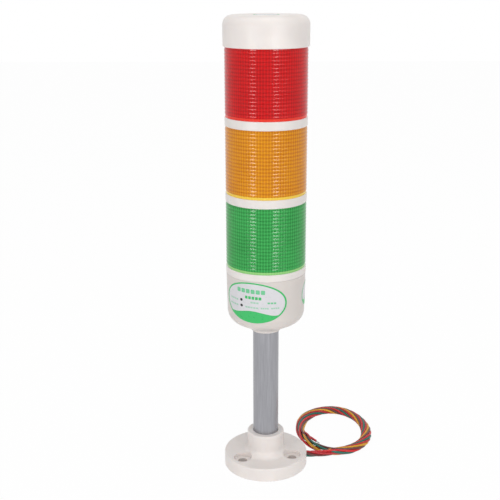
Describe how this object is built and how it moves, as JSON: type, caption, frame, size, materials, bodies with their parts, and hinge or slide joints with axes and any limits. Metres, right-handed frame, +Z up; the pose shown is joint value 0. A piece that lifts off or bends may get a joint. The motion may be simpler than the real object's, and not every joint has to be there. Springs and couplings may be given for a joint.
{
  "type": "stack light",
  "caption": "Upright signal tower: red, amber and green ribbed lens sections under a domed cap, on a white body, a tubular pole and a round foot, with coiled wires.",
  "frame": {"origin": "centre of the foot at floor level, under the pole", "axes": "+Z up along the pole, -Y towards the front, +X to the right where the wires leave"},
  "size_m": [0.1025, 0.1023, 0.2919],
  "materials": {
    "white_plastic": "satin moulded white ABS",
    "ring_plastic": "satin moulded white ABS",
    "aluminium": "fine brushed, anodised",
    "zinc_steel": "zinc plated",
    "circuit_board": "green solder mask",
    "led": "LED package",
    "black_component": "moulded black",
    "green_lens": "clear green moulded lens",
    "amber_lens": "clear amber moulded lens",
    "red_lens": "clear red moulded lens",
    "label_film": "printed white film",
    "wire_insulation": "PVC insulation"
  },
  "bodies": {
    "root": {"amber_led_boards": "circuit_board", "amber_leds": "led", "amber_lens": "amber_lens", "base_foot": "white_plastic", "board_components": "black_component", "board_screw_1": "zinc_steel", "board_screw_2": "zinc_steel", "board_screw_3": "zinc_steel", "body_collar": "ring_plastic", "body_housing": "white_plastic", "buzzer": "black_component", "cap_label": "label_film", "driver_board": "circuit_board", "front_label": "label_film", "green_led_boards": "circuit_board", "green_leds": "led", "green_lens": "green_lens", "lower_separator": "ring_plastic", "pole_nut": "zinc_steel", "pole_tube": "aluminium", "pole_washer": "zinc_steel", "pole_wires": "wire_insulation", "red_led_boards": "circuit_board", "red_leds": "led", "red_lens": "red_lens", "section_wires": "wire_insulation", "side_label": "label_film", "tie_nut": "zinc_steel", "tie_screw": "zinc_steel", "top_cap": "white_plastic", "upper_separator": "ring_plastic", "wire_coil": "wire_insulation", "wire_lead": "wire_insulation"}
  },
  "joints": []
}
